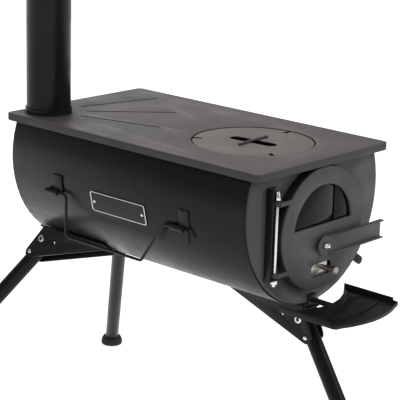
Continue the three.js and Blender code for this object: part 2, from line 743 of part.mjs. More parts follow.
function airSlider() {
  const outline = new THREE.Shape()
    .moveTo(airLeft, airZ - airHalf)
    .lineTo(airRight, airZ - airHalf)
    .lineTo(airRight, airZ + airHalf)
    .lineTo(airLeft + 6, airZ + airHalf)
    .lineTo(airLeft, airZ + airHalf - 8);
  const hole = moved(rod(airKnobStem / 4 + seatGap, sliderFront - 1, sliderBack + 1, Y, facets.fine), airKnobX, 0,
    airZ);
  return cut(solid(extrude(outline, alongY, sliderFront, sliderBack)), hole);
}

// The knob's thin tail is riveted through the slider.
function airKnob() {
  const stem = airKnobStem / 2;
  const head = airKnobDiameter / 2;
  const tail = stem / 2;
  const start = -(sliderFront - seatGap);
  const tip = -doorFace + airKnobLength;
  const profile = [
    [0, -(sliderBack + 1.6)], [stem, -(sliderBack + 1.6)], [stem, -(sliderBack + seatGap)],
    [tail, -(sliderBack + seatGap)], [tail, start], [stem, start], [stem, tip - airKnobHead],
    [head - 1, tip - airKnobHead], [head, tip - airKnobHead + 1], [head, tip - 1], [head - 1.2, tip], [0, tip],
  ];
  return moved(turn(profile, forward, facets.fine), airKnobX, 0, airZ);
}

function airGuide(side) {
  const inner = airHalf + seatGap;
  const back = sliderBack + seatGap;
  const sheet = 1.2;
  const points = [
    [sliderFront, inner], [back, inner], [back, inner - airSliderLap / 2],
    [back + sheet, inner - airSliderLap / 2], [back + sheet, inner + airGuideFoot],
    [sliderFront, inner + airGuideFoot],
  ].map(([y, z]) => new THREE.Vector2(y, airZ + side * z));
  return extrude(new THREE.Shape(points), alongX, -airGuideLength / 2, airGuideLength / 2);
}

// ---------------------------------------------------------------- ash shelf
function shelfOutline(inset) {
  const half = shelfWidth / 2 - inset;
  const front = -shelfReach + inset;
  const corner = shelfCornerRadius - inset;
  const side = front + shelfFrontBulge + corner;
  return new THREE.Shape()
    .moveTo(-half, -shelfRearGap)
    .quadraticCurveTo(0, -shelfRearGap - 2 * shelfRearArc, half, -shelfRearGap)
    .lineTo(half, side)
    .quadraticCurveTo(half, side - corner, half - corner, side - corner)
    .quadraticCurveTo(0, front - shelfFrontBulge / 2, -half + corner, side - corner)
    .quadraticCurveTo(-half, side - corner, -half, side);
}

function ashShelf() {
  const base = hotplateHeight - shelfDrop;
  const tray = solid(moved(extrude(shelfOutline(0), alongZ, base - shelfSheet, base + shelfLip,
    { segments: 7 }), 0, frontFace, 0));
  const well = shelfOutline(shelfSheet);
  const hollow = moved(extrude(well, alongZ, base, base + shelfLip + 1, { segments: 7 }), 0,
    frontFace, 0);
  const rearOpen = block(-shelfWidth / 2 + shelfSheet, shelfWidth / 2 - shelfSheet,
    frontFace - shelfRearGap - shelfRearArc - 6, frontFace, base, base + shelfLip + 1);
  const frontLow = block(-shelfWidth, shelfWidth * 1.5, frontFace - shelfReach - 30,
    frontFace - shelfReach + shelfFrontBulge + 12, base + shelfLip / 2, base + shelfLip + 1);
  let shelf = cut(tray, hollow, rearOpen, frontLow);

  const ribEnd = shelfWidth * shelfRibShare / 2;
  const ribSide = -shelfReach + shelfFrontBulge + shelfRibSetback;
  const ribMiddle = ribSide - shelfFrontBulge;
  const rib = new THREE.Shape()
    .moveTo(-ribEnd, ribSide).quadraticCurveTo(0, ribMiddle, ribEnd, ribSide)
    .lineTo(ribEnd, ribSide + shelfRibWidth)
    .quadraticCurveTo(0, ribMiddle + shelfRibWidth, -ribEnd, ribSide + shelfRibWidth);
  const middle = shelfWidth * shelfSideRibPlace;
  const sideRib = roundedRectangle(middle - shelfSideRibLength / 2, -shelfSideRibDepth,
    middle + shelfSideRibLength / 2, -shelfSideRibDepth + shelfRibWidth, shelfRibWidth / 2 - 0.01);
  for (const outline of [rib, sideRib]) {
    shelf = shelf.add(solid(moved(extrude(outline, alongZ, base - 0.2, base + shelfRibHeight,
      { segments: 5 }), 0, frontFace, 0)));
  }

  const half = shelfHookWidth / 2;
  const hookFront = frontFace - seatGap - shelfHookSheet;
  const hookTop = base + shelfHookRise;
  const tongue = block(-half, half, hookFront, frontFace - seatGap, base - shelfHookDrop,
    hookTop + shelfHookSheet);
  const through = block(-half, half, hookFront, frontFace + shelfHookDepth, hookTop,
    hookTop + shelfHookSheet);
  const foot = block(-half - 3, half + 3, hookFront - shelfHookFoot, frontFace - seatGap,
    base - shelfHookDrop - shelfHookSheet, base - shelfHookDrop);
  const bridge = block(-half, half, frontFace - shelfRearGap - shelfRearArc - 2, hookFront + 0.5,
    base - shelfSheet, base);
  for (const piece of [tongue, through, foot, bridge]) shelf = shelf.add(solid(piece));
  return shelf;
}

// ---------------------------------------------------------------- name plate, clips and bails
function namePlate() {
  const strip = ovalStrip(namePlateAngles, -1, seatGap, seatGap + namePlateSheet);
  const from = namePlateCentre - namePlateLength / 2;
  return extrude(strip, alongY, from, from + namePlateLength);
}

function namePlateRivet(end) {
  const middle = (namePlateAngles[0] + namePlateAngles[1]) / 2;
  const seat = ovalPoint(middle, -1, 2 * seatGap + namePlateSheet);
  const outer = ovalPoint(middle, -1, 10);
  const normal = new THREE.Vector3(outer.x - seat.x, 0, outer.y - seat.y).normalize();
  const r = namePlateRivetRadius;
  const head = turn([[0, 0], [r, 0], [r * 0.9, 0.6], [0, 1.3]], normal, facets.fine);
  const y = namePlateCentre + end * (namePlateLength / 2 - namePlateRivetInset);
  return moved(head, seat.x, y, seat.y);
}

const wireRadius = bailWireDiameter / 2;
const rollInner = wireRadius + bailWireClearance;
const rollOuter = rollInner + clipSheet;
const rollOffset = rollOuter + seatGap;

function clip(side, y) {
  const strip = ovalStrip([clipAngles[0], clipAngles[1]], side, seatGap, seatGap + clipSheet);
  const plate = extrude(strip, alongY, y - clipWidth / 2, y + clipWidth / 2);
  const centre = ovalPoint(bailPivotAngle, side, rollOffset);
  const roll = rod(rollOuter, -clipRollLength / 2, clipRollLength / 2, Y);
  const bore = rod(rollInner, -clipRollLength, clipRollLength, Y);
  const rollY = y + clipRollShift;
  return cut(solid(plate).add(solid(moved(roll, centre.x, rollY, centre.y))),
    moved(bore, centre.x, rollY, centre.y));
}

// The wire runs through both rolls, drops square at the rear and slopes up again at the front.
function bail(side) {
  const pivot = ovalPoint(bailPivotAngle, side, rollOffset);
  const rearRoll = clipStations[0] + clipRollShift;
  const frontRoll = clipStations[1] + clipRollShift;
  const rollHalf = clipRollLength / 2;
  const rearCorner = rearRoll - rollHalf - bailCornerReach;
  const frontCorner = frontRoll + rollHalf + bailSlopeLength;
  const stations = [
    [rearRoll + rollHalf + bailTail, 0], [rearCorner, 0], [rearCorner, -bailDrop],
    [frontCorner, -bailDrop], [frontRoll + rollHalf + bailKnee, 0], [frontRoll - rollHalf - bailHook, 0],
    [frontRoll - rollHalf - bailHook, -bailEndDrop],
  ].map(([y, z]) => new THREE.Vector3(0, y, z));
  const bends = bailBends.map((radius, i) => ({ corner: stations[i + 1], radius }));
  const path = new THREE.CurvePath();
  let last = stations[0];
  bends.forEach(({ corner, radius }, i) => {
    const before = corner.clone().add(last.clone().sub(corner).normalize().multiplyScalar(radius));
    const after = corner.clone().add(stations[i + 2].clone().sub(corner).normalize().multiplyScalar(radius));
    path.add(new THREE.LineCurve3(last, before));
    path.add(new THREE.QuadraticBezierCurve3(before, corner, after));
    last = after;
  });
  path.add(new THREE.LineCurve3(last, stations.at(-1)));

  const wire = new THREE.ExtrudeGeometry(circle(0, 0, wireRadius), {
    steps: 42, curveSegments: 4, bevelEnabled: false, extrudePath: path,
  });
  return moved(wire, pivot.x, 0, pivot.y);
}

// ---------------------------------------------------------------- legs
function ovalRadius(fromBottom) {
  const s = Math.sin(fromBottom * degrees) / fireboxHalfWidth;
  const c = Math.cos(fromBottom * degrees) / fireboxHalfHeight;
  return 1 / Math.hypot(s, c);
}

const cheekInner = legDiameter / 2 + legClearance;
const cheekOuter = cheekInner + cheekSheet;
const saddleHalf = cheekOuter + saddleFlange;

// Two legs at the rear lean sideways as well; the one in front stands in the stove's middle plane.
// side is the outboard side of a leg and end is its end of the stove.
const stations = [
  { name: 'rear_left', side: -1, end: 1, tilt: -rearTilt, depth: rearPivotDepth, splay: rearSplay },
  { name: 'rear_right', side: 1, end: 1, tilt: rearTilt, depth: rearPivotDepth, splay: rearSplay },
  { name: 'front', side: -1, end: -1, tilt: 0, depth: frontPivotDepth, splay: frontSplay },
];
for (const station of stations) {
  const tilt = station.tilt * degrees;
  const splay = station.splay * degrees;
  const surface = ovalRadius(station.tilt);
  const spread = saddleHalf / surface / degrees;
  const nearby = [-spread, 0, spread].map((angle) => ovalRadius(station.tilt + angle));
  station.saddleAngle = spread;
  station.saddleRadius = seatGap + Math.max(...nearby);
  station.pivotRadius = surface + station.depth;
  station.pivot = new THREE.Vector3(
    station.pivotRadius * Math.sin(tilt),
    station.end * (hotplateLength / 2 - legPivotInset),
    axisHeight - station.pivotRadius * Math.cos(tilt),
  );
  station.direction = new THREE.Vector3(
    Math.sin(tilt) * Math.cos(splay),
    station.end * Math.sin(splay),
    -Math.cos(tilt) * Math.cos(splay),
  );
  const lean = Math.acos(-station.direction.z);
  const footHold = footSole + (legDiameter / 2) * Math.sin(lean);
  station.length = (station.pivot.z - footHold) / -station.direction.z;
}

// Inside a leg station X points to the right along the pivot, Y to the rear and Z up along the cheeks.
function stationGroup(station) {
  const group = new THREE.Group();
  group.position.copy(station.pivot);
  group.rotation.y = -station.tilt * degrees;
  stove.add(group);
  return group;
}

function cheekOutline(station) {
  const top = station.pivotRadius - station.saddleRadius - saddleSheet / 2;
  const tip = top - cheekTipHeight;
  const { end } = station;
  const from = (end > 0 ? 20 : 160) * degrees;
  const to = (end > 0 ? -105 : 285) * degrees;
  return new THREE.Shape()
    .moveTo(-end * bracketLength, top)
    .lineTo(-end * cheekShoulder, top)
    .lineTo(bracketEndRadius * Math.cos(from), bracketEndRadius * Math.sin(from))
    .absarc(0, 0, bracketEndRadius, from, to, end > 0)
    .lineTo(-end * bracketLength, tip);
}

function lockPlace(station) {
  const angle = station.splay * degrees;
  return [-station.end * lockRadius * Math.sin(angle), lockRadius * Math.cos(angle)];
}

function legBracket(station) {
  const outline = cheekOutline(station);
  const cheeks = [-1, 1].map((w) => {
    const from = w < 0 ? -cheekOuter : cheekInner;
    return extrude(outline, alongX, from, from + cheekSheet, { segments: 4 });
  });
  const start = (-90 - station.saddleAngle) * degrees;
  const stop = (-90 + station.saddleAngle) * degrees;
  const arc = new THREE.Shape()
    .absarc(0, station.pivotRadius, station.saddleRadius, start, stop, false)
    .absarc(0, station.pivotRadius, station.saddleRadius + saddleSheet, stop, start, true);
  const ends = [bracketEndRadius, bracketLength + saddleOverrun].map((y) => -station.end * y);
  const saddle = extrude(arc, alongY, Math.min(...ends), Math.max(...ends), { segments: 3 });
  const pivotHole = rod(pivotDiameter / 2 + hingeClearance, -cheekOuter - 1, cheekOuter + 1, X,
    facets.fine);
  const [ly, lz] = lockPlace(station);
  const lockHole = moved(rod(lockHoleRadius + lockRingWall, -cheekOuter - 1, cheekOuter + 1, X,
    facets.fine), 0, ly, lz);
  const [hy, hz] = cheekHolePlace;
  const spareHole = moved(rod(cheekHoleRadius, -cheekOuter - 1, cheekOuter + 1, X, facets.fine), 0,
    station.end * hy, hz);
  return cut(join(saddle, ...cheeks), pivotHole, lockHole, spareHole);
}

// An eyelet set in the outboard cheek, round the lock hole.
function lockRing(station) {
  const face = cheekOuter + seatGap;
  const barrel = lockHoleRadius + lockRingWall - seatGap;
  const profile = [
    [lockHoleRadius - 0.6, cheekInner], [barrel, cheekInner], [barrel, face],
    [lockRingRadius, face], [lockRingRadius - 1, face + 1.5], [lockHoleRadius - 0.6, face + 1.5],
    [lockHoleRadius - 0.6, cheekInner],
  ];
  const out = new THREE.Vector3(station.side, 0, 0);
  const [y, z] = lockPlace(station);
  return moved(turn(profile, out, facets.fine), 0, y, z);
}

// A solid rivet with a domed head at each end.
function legPivot() {
  const shaft = pivotDiameter / 2;
  const face = cheekOuter + seatGap;
  const r = pivotHeadRadius;
  const half = [[shaft, face], [r, face], [r, face + 0.8], [r * 0.7, face + 2.3], [0, face + 2.9]];
  const other = half.map(([radius, h]) => [radius, -h]).reverse();
  return turn([...other, ...half], X, facets.fine);
}

// A tube with a closed round top; the lock button stands on its outboard side.
function leg(station) {
  const r = legDiameter / 2;
  const inner = r - legWall;
  const centre = legTop - r;
  const profile = [[0, centre], [inner, centre], [inner, -station.length], [r, -station.length], [r, centre]];
  for (const turned of [30, 60]) {
    profile.push([r * Math.cos(turned * degrees), centre + r * Math.sin(turned * degrees)]);
  }
  const tube = solid(turn([...profile, [0, legTop]], Z));
  const out = new THREE.Vector3(station.side, 0, 0);
  const button = moved(rod(lockHoleRadius - 1, inner - 1, cheekInner - seatGap, out, 8), 0, 0, lockRadius);
  const hole = rod(pivotDiameter / 2 + hingeClearance, -legDiameter, legDiameter, X, facets.fine);
  return cut(tube.add(solid(button)), hole);
}

function foot(station) {
  const profile = [[0, 0], [footRadius - 3, 0], [footRadius, 3], [footRadius, 7], [footRadius - 5, 16],
    [footRadius - 12, footHeight], [0, footHeight]];
  const end = station.pivot.clone().addScaledVector(station.direction, station.length);
  const socketDirection = station.direction.clone().negate();
  const socket = rod(legDiameter / 2 + seatGap, -seatGap, 60, socketDirection);
  return cut(solid(moved(turn(profile, Z, 18), end.x, end.y, 0)), moved(socket, end.x, end.y, end.z));
}

// ---------------------------------------------------------------- assembly
add('firebox_shell', fireboxShell(), materials.black);
add('front_plate', frontPlate(), materials.black);
add('rear_plate', rearPlate(), materials.black);
add('hotplate', hotplate(), materials.plate);
add('lid_ring', lidRing(), materials.inner);
makeLid();
add('flue_collar', flueCollar(), materials.black);
add('flue_pipe', fluePipe(), materials.black);

add('door_collar', doorCollar(), materials.inner);
add('door_panel', doorPanel(), materials.black);
add('window_glass_left', glassPane(-doorRadius, glassSplit - glassSplitGap / 2), materials.glass);
add('window_glass_right', glassPane(glassSplit + glassSplitGap / 2, doorRadius), materials.glass);
add('glass_retainer', glassRetainer(), materials.inner);
add('hinge_bracket', hingeBracket(), materials.black);
add('hinge_rod', hingeRod(), materials.steel);
add('hinge_acorn_nut', acornNut(), materials.steel);
add('hinge_nut', hingeNut(), materials.steel);

add('latch_handle', latchHandle(), materials.black);
add('latch_spindle', latchSpindle(), materials.steel);
add('latch_cam', latchCam(), materials.inner);
add('latch_nut', latchNut(), materials.steel);
add('air_slider', airSlider(), materials.steel);
add('air_knob', airKnob(), materials.steel);
add('air_guide_upper', airGuide(1), materials.inner);
add('air_guide_lower', airGuide(-1), materials.inner);
add('ash_shelf', ashShelf(), materials.black);

add('name_plate', namePlate(), materials.steel);
add('name_plate_rivet_front', namePlateRivet(-1), materials.steel);
add('name_plate_rivet_rear', namePlateRivet(1), materials.steel);

for (const [sideName, side] of [['left', -1], ['right', 1]]) {
  add(`handle_clip_rear_${sideName}`, clip(side, clipStations[0]), materials.black);
  add(`handle_clip_front_${sideName}`, clip(side, clipStations[1]), materials.black);
  add(`bail_handle_${sideName}`, bail(side), materials.black);
}

for (const station of stations) {
  const group = stationGroup(station);
  add(`leg_bracket_${station.name}`, legBracket(station), materials.black, group);
  add(`lock_ring_${station.name}`, lockRing(station), materials.steel, group);
  add(`leg_pivot_${station.name}`, legPivot(), materials.steel, group);
  const legGroup = new THREE.Group();
  legGroup.rotation.x = station.end * station.splay * degrees;
  group.add(legGroup);
  add(`leg_${station.name}`, leg(station), materials.black, legGroup);
  add(`foot_${station.name}`, foot(station), materials.rubber);
}

// The origin is on the floor, midway between the front foot and the rear feet.
const footEnds = stations.map((station) => station.pivot.y + station.direction.y * station.length);
stove.position.y = -(Math.min(...footEnds) + Math.max(...footEnds)) / 2;

export default model;
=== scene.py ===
"""Finishes of the tent wood stove, laid over its fixed CAD frame. Metres, +Z up, the door faces -Y."""

import json
import math

import bmesh
import bpy
from mathutils import Matrix, Vector

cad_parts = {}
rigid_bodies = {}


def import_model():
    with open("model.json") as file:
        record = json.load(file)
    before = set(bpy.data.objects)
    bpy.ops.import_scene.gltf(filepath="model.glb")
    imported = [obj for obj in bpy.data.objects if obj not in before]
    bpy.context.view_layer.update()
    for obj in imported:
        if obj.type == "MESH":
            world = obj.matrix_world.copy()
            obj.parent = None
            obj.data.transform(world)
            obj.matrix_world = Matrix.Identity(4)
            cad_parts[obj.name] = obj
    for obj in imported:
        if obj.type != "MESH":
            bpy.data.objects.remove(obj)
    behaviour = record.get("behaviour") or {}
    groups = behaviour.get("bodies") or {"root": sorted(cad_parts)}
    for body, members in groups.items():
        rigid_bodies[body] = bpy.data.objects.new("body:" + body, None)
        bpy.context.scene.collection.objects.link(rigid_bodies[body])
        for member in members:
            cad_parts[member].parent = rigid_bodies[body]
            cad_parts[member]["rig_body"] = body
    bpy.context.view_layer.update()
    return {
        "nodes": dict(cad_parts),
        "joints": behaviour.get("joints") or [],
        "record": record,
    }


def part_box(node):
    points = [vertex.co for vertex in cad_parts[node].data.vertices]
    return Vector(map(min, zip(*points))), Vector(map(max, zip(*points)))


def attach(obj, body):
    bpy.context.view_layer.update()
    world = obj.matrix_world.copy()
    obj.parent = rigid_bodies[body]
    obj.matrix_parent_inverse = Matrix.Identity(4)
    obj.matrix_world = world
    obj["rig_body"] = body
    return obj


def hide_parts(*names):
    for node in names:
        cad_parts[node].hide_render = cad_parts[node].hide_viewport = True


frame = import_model()
nodes = frame["nodes"]
joints = {joint["name"]: joint for joint in frame["joints"]}
slot_of = {row["node"]: row["material_slot"] for row in frame["record"]["subparts"]}
scene = bpy.context.scene

MM = 0.001
UP = (0, 0, 1)
LEGS = [name.removeprefix("leg_fold_") for name in joints if name.startswith("leg_fold_")]
SIDES = ("left", "right")

# ------------------------------------------------------------------ sizes worked out from the frame
plate_low, plate_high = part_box("hotplate")
plate_middle = Vector((0, (plate_low.y + plate_high.y) / 2, 0))
body_low, body_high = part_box("firebox_shell")
body_half = (body_high.x - body_low.x) / 2
pipe_low, pipe_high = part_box("flue_pipe")
flue_axis = Vector(((pipe_low.x + pipe_high.x) / 2, (pipe_low.y + pipe_high.y) / 2, pipe_low.z))

# ------------------------------------------------------------------ sizes that no box of the frame gives
OVAL_REACH = 156 * MM  # from the middle of the body's oval down to its lowest line
BAIL_WIRE = 2.3 * MM  # radius
LEG_RADIUS = 12 * MM
FOOT_FLOOR = 3 * MM  # rubber under the tube
PEEL_DEPTH = 0.12 * MM  # of the paint's orange peel
CREASE = 40.0  # degrees past which an edge stays sharp
oval_middle = body_low.z + OVAL_REACH


def linear(*values):
    """Screen values from 0 to 255 as linear light."""
    steps = [value / 255 for value in values]
    return tuple(s / 12.92 if s <= 0.04045 else ((s + 0.055) / 1.055) ** 2.4 for s in steps)


def shade(colour, share):
    """A colour made darker or lighter."""
    return tuple(c * share for c in colour)


# ------------------------------------------------------------------ node helpers
class Tree:
    """A short way to write a node tree: add nodes and join their sockets."""

    def __init__(self, tree):
        self.tree = tree

    def add(self, kind, **settings):
        node = self.tree.nodes.new(kind)
        for key, value in settings.items():
            setattr(node, key, value)
        return node

    def link(self, source, target):
        self.tree.links.new(source, target)


def emptied(owner):
    """The node tree of a material or a world, with nothing in it yet."""
    owner.use_nodes = True
    owner.node_tree.nodes.clear()
    return Tree(owner.node_tree)


def new_material(name):
    """A material with its shader and the object coordinates that its patterns read."""
    material = bpy.data.materials.new(name)
    tree = emptied(material)
    shader = tree.add("ShaderNodeBsdfPrincipled")
    output = tree.add("ShaderNodeOutputMaterial")
    tree.link(shader.outputs["BSDF"], output.inputs["Surface"])
    place = tree.add("ShaderNodeTexCoord")
    return material, tree, shader, place.outputs["Object"]


def noise(tree, place, scale, detail, stretch=None):
    """Noise on object coordinates; stretch squeezes the pattern along an axis."""
    if stretch:
        mapping = tree.add("ShaderNodeMapping")
        mapping.inputs["Scale"].default_value = stretch
        tree.link(place, mapping.inputs["Vector"])
        place = mapping.outputs["Vector"]
    texture = tree.add("ShaderNodeTexNoise")
    texture.inputs["Scale"].default_value = scale
    texture.inputs["Detail"].default_value = detail
    texture.inputs["Roughness"].default_value = 0.55
    tree.link(place, texture.inputs["Vector"])
    return texture.outputs["Fac"]


def spread(tree, source, low, high, start=0.3, end=0.7):
    """Maps a pattern between start and end onto low and high."""
    mapped = tree.add("ShaderNodeMapRange")
    for label, value in zip(("From Min", "From Max", "To Min", "To Max"), (start, end, low, high)):
        mapped.inputs[label].default_value = value
    tree.link(source, mapped.inputs["Value"])
    return mapped.outputs["Result"]


def blend_colours(tree, factor, first, second):
    """Mixes two colours, each a tuple or a socket."""
    mix = tree.add("ShaderNodeMix", data_type="RGBA")
    tree.link(factor, mix.inputs["Factor"])
    for socket, colour in ((mix.inputs[6], first), (mix.inputs[7], second)):
        if isinstance(colour, tuple):
            socket.default_value = (*colour, 1.0)
        else:
            tree.link(colour, socket)
    return mix.outputs[2]


def bump(tree, height, strength, distance, shader):
    """Raises the shader's surface by a pattern."""
    node = tree.add("ShaderNodeBump")
    node.inputs["Strength"].default_value = strength
    node.inputs["Distance"].default_value = distance
    tree.link(height, node.inputs["Height"])
    tree.link(node.outputs["Normal"], shader.inputs["Normal"])


# ------------------------------------------------------------------ finishes
def heat_paint(name, colour, rough=0.42, grain=0.16, mottle=0.16, gloss=0.22):
    """Satin heat-proof paint: a fine orange peel, soft mottling and faint smudges in its gloss."""
    material, tree, shader, place = new_material(name)
    uneven = 0.08
    cloud = spread(tree, noise(tree, place, scale=9.0, detail=5.0), 0.0, 1.0)
    mottled = blend_colours(tree, cloud, shade(colour, 1 - mottle), shade(colour, 1 + mottle))
    tree.link(mottled, shader.inputs["Base Color"])
    smudge = noise(tree, place, scale=26.0, detail=6.0)
    tree.link(spread(tree, smudge, rough - uneven, rough + uneven), shader.inputs["Roughness"])
    peel = noise(tree, place, scale=950.0, detail=2.0)
    bump(tree, peel, grain, PEEL_DEPTH, shader)
    shader.inputs["Specular IOR Level"].default_value = gloss
    return material


def cooking_paint(name, colour, warm, edge, rough=0.5):
    """The hotplate's paint: rubbed grey and softly warmed on top, darker near the flue, and painted shade
    in the edge colour on faces that do not face up.
    """
    material, tree, shader, place = new_material(name)
    uneven = 0.09
    cloud = spread(tree, noise(tree, place, scale=5.0, detail=5.0), 0.0, 1.0, start=0.35, end=0.65)
    warmed = blend_colours(tree, cloud, colour, warm)
    from_flue = tree.add("ShaderNodeVectorMath", operation="DISTANCE")
    from_flue.inputs[1].default_value = flue_axis
    tree.link(place, from_flue.inputs[0])
    heat = spread(tree, from_flue.outputs["Value"], 1.0, 0.0, start=30 * MM, end=120 * MM)
    toned = blend_colours(tree, heat, warmed, shade(colour, 0.55))
    flecks = spread(tree, noise(tree, place, scale=240.0, detail=3.0), 0.0, 0.35, start=0.60, end=0.74)
    rubbed_top = blend_colours(tree, flecks, toned, shade(colour, 1.35))
    # Painted shade: faces that do not face up take the darker edge colour.
    surface = tree.add("ShaderNodeNewGeometry")
    upright = tree.add("ShaderNodeSeparateXYZ")
    tree.link(surface.outputs["Normal"], upright.inputs["Vector"])
    painted_shade_by_facing = spread(tree, upright.outputs["Z"], 0.0, 1.0, start=0.3, end=0.9)
    tree.link(blend_colours(tree, painted_shade_by_facing, edge, rubbed_top), shader.inputs["Base Color"])
    rubbed = noise(tree, place, scale=18.0, detail=6.0)
    tree.link(spread(tree, rubbed, rough - uneven, rough + uneven), shader.inputs["Roughness"])
    peel = noise(tree, place, scale=800.0, detail=2.0)
    bump(tree, peel, 0.15, PEEL_DEPTH, shader)
    shader.inputs["Specular IOR Level"].default_value = 0.3
    return material


def brushed_steel(name, colour, rough=0.24, stretch=(40.0, 40.0, 2.0)):
    """Stainless with fine streaks along its length and a slightly uneven polish."""
    material, tree, shader, place = new_material(name)
    streaks = noise(tree, place, scale=60.0, detail=3.0, stretch=stretch)
    brushed = blend_colours(tree, spread(tree, streaks, 0.0, 1.0), shade(colour, 0.82), colour)
    tree.link(brushed, shader.inputs["Base Color"])
    tree.link(spread(tree, streaks, rough - 0.06, rough + 0.1), shader.inputs["Roughness"])
    bump(tree, streaks, 0.08, 0.05 * MM, shader)
    shader.inputs["Metallic"].default_value = 1.0
    return material


def glass_in_painted_shade(name, colour):
    """The window: painted dark as the shade of the firebox behind it, with soft patches of soot."""
    material, tree, shader, place = new_material(name)
    film = noise(tree, place, scale=22.0, detail=5.0)
    soot = spread(tree, film, 0.0, 1.0, start=0.4, end=0.7)
    tree.link(blend_colours(tree, soot, colour, shade(colour, 0.6)), shader.inputs["Base Color"])
    tree.link(spread(tree, film, 0.05, 0.16), shader.inputs["Roughness"])
    shader.inputs["IOR"].default_value = 1.5
    shader.inputs["Specular IOR Level"].default_value = 0.08
    return material


def moulded_rubber(name, colour):
    """Matt rubber with a fine grain and patches of dust."""
    material, tree, shader, place = new_material(name)
    dust = noise(tree, place, scale=40.0, detail=5.0)
    dusty = spread(tree, dust, 0.0, 1.0, start=0.45, end=0.75)
    tree.link(blend_colours(tree, dusty, colour, shade(colour, 1.7)), shader.inputs["Base Color"])
    tree.link(spread(tree, dust, 0.62, 0.8), shader.inputs["Roughness"])
    grain = noise(tree, place, scale=600.0, detail=2.0)
    bump(tree, grain, 0.25, 0.2 * MM, shader)
    return material


black = heat_paint("black_heat_paint", linear(26, 26, 26))
body_black = heat_paint("body_heat_paint", linear(25, 24, 24), rough=0.31, gloss=0.17)
# A lighter copy of the black heat paint: painted light on the front plate, door and latch handle, where
# the light falls; the rear plate wears it too.
painted_light_black = heat_paint("painted_light_heat_paint", linear(86, 86, 86), rough=0.46)
pipe_black = heat_paint("pipe_heat_paint", linear(20, 20, 20), rough=0.3, gloss=0.17)
# edge is painted shade on the sides of the hotplate and of the lid.
plate_grey = cooking_paint("hotplate_paint", linear(108, 102, 101), warm=linear(116, 107, 104),
                           edge=linear(70, 68, 67))
lid_grey = cooking_paint("lid_paint", linear(134, 126, 122), warm=linear(142, 131, 125),
                         edge=linear(20, 20, 20), rough=0.54)
soot_black = heat_paint("inner_black", linear(20, 20, 20), rough=0.62)
stainless = brushed_steel("stainless", linear(226, 223, 218))
knob_steel = brushed_steel("knob_steel", linear(158, 153, 146), rough=0.3, stretch=(3.0, 3.0, 3.0))
slider_steel = brushed_steel("slider_stainless", linear(206, 201, 192), rough=0.34,
                             stretch=(3.0, 40.0, 40.0))
# The panes carry painted shade for the dark firebox behind them.
window_dark = glass_in_painted_shade("window_glass", linear(22, 23, 23))
foot_rubber = moulded_rubber("foot_rubber", linear(32, 32, 32))
enamel = heat_paint("plate_enamel", linear(26, 26, 27), rough=0.3, grain=0.05, mottle=0.08)


# ------------------------------------------------------------------ making pieces
def place_piece(obj, body, slot, finish, *stands_for):
    """Paints a piece, ties it to its body and hides the CAD nodes that it takes the place of."""
    obj.data.materials.clear()
    obj.data.materials.append(finish)
    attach(obj, body)
    if stands_for:
        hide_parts(*stands_for)


def mesh_of(name, bm):
    """Turns a finished bmesh into a mesh."""
    mesh = bpy.data.meshes.new(name)
    bm.to_mesh(mesh)
    bm.free()
    return mesh


def object_from(name, data):
    """An object at the origin, in the scene."""
    obj = bpy.data.objects.new(name, data)
    scene.collection.objects.link(obj)
    return obj


def settled(obj, crease=CREASE):
    """Turns live modifiers into plain mesh and shades it smooth, sharp past an angle."""
    evaluated = obj.evaluated_get(bpy.context.evaluated_depsgraph_get())
    mesh = bpy.data.meshes.new_from_object(evaluated)
    obj.modifiers.clear()
    obj.data = mesh
    mesh.shade_smooth()
    mesh.set_sharp_from_angle(angle=math.radians(crease))
    return obj


def dress(node, finish, ease=0.35, crease=CREASE):
    """A copy of a CAD node with its flat faces merged and its edges eased by some tenths of a mm."""
    source = nodes[node]
    body, record_slot = source["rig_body"], slot_of[node]
    bm = bmesh.new()
    bm.from_mesh(source.data)
    bmesh.ops.remove_doubles(bm, verts=bm.verts, dist=0.002 * MM)
    bmesh.ops.dissolve_limit(bm, angle_limit=math.radians(0.6), verts=bm.verts, edges=bm.edges)
    obj = object_from(node + "_finished", mesh_of(node + "_finished", bm))
    if ease:
        bevel = obj.modifiers.new("eased_edges", "BEVEL")
        bevel.width = ease * MM
        bevel.segments = 2
        bevel.limit_method = "ANGLE"
        bevel.angle_limit = math.radians(crease)
    settled(obj, crease)
    place_piece(obj, body, record_slot, finish, node)


def turned(name, profile, start, direction, sides):
    """A closed turned solid from (radius, height) points, which start and end on the axis or meet."""
    closed = profile[0] == profile[-1]
    rows = profile[:-1] if closed else profile
    turn = Vector(direction).normalized().to_track_quat("Z", "Y").to_matrix()
    bm = bmesh.new()
    rings = []
    for radius, height in rows:
        ring = []
        for i in range(sides if radius else 1):
            angle = 2 * math.pi * i / sides
            spoke = Vector((radius * math.cos(angle), radius * math.sin(angle), height))
            ring.append(bm.verts.new(Vector(start) + turn @ spoke))
        rings.append(ring)
    following = rings[1:] + rings[:1] if closed else rings[1:]
    for low, high in zip(rings, following):
        for i in range(sides):
            j = (i + 1) % sides
            corners = [low[i % len(low)], low[j % len(low)], high[j % len(high)], high[i % len(high)]]
            unique = list(dict.fromkeys(corners))
            if len(unique) > 2:
                bm.faces.new(unique)
    bmesh.ops.recalc_face_normals(bm, faces=bm.faces)
    mesh = mesh_of(name, bm)
    mesh.shade_smooth()
    mesh.set_sharp_from_angle(angle=math.radians(38))
    return object_from(name, mesh)


def arc(centre, radius, start, end, steps):
    """Points on an arc in a profile, between two angles in degrees."""
    points = []
    for i in range(steps + 1):
        angle = math.radians(start + (end - start) * i / steps)
        points.append((centre[0] + radius * math.cos(angle), centre[1] + radius * math.sin(angle)))
    return points


# ------------------------------------------------------------------ geometry trees
def input_socket(tree, name, kind, value=None):
    socket = tree.interface.new_socket(name=name, in_out="INPUT", socket_type=kind)
    if value is not None:
        socket.default_value = value


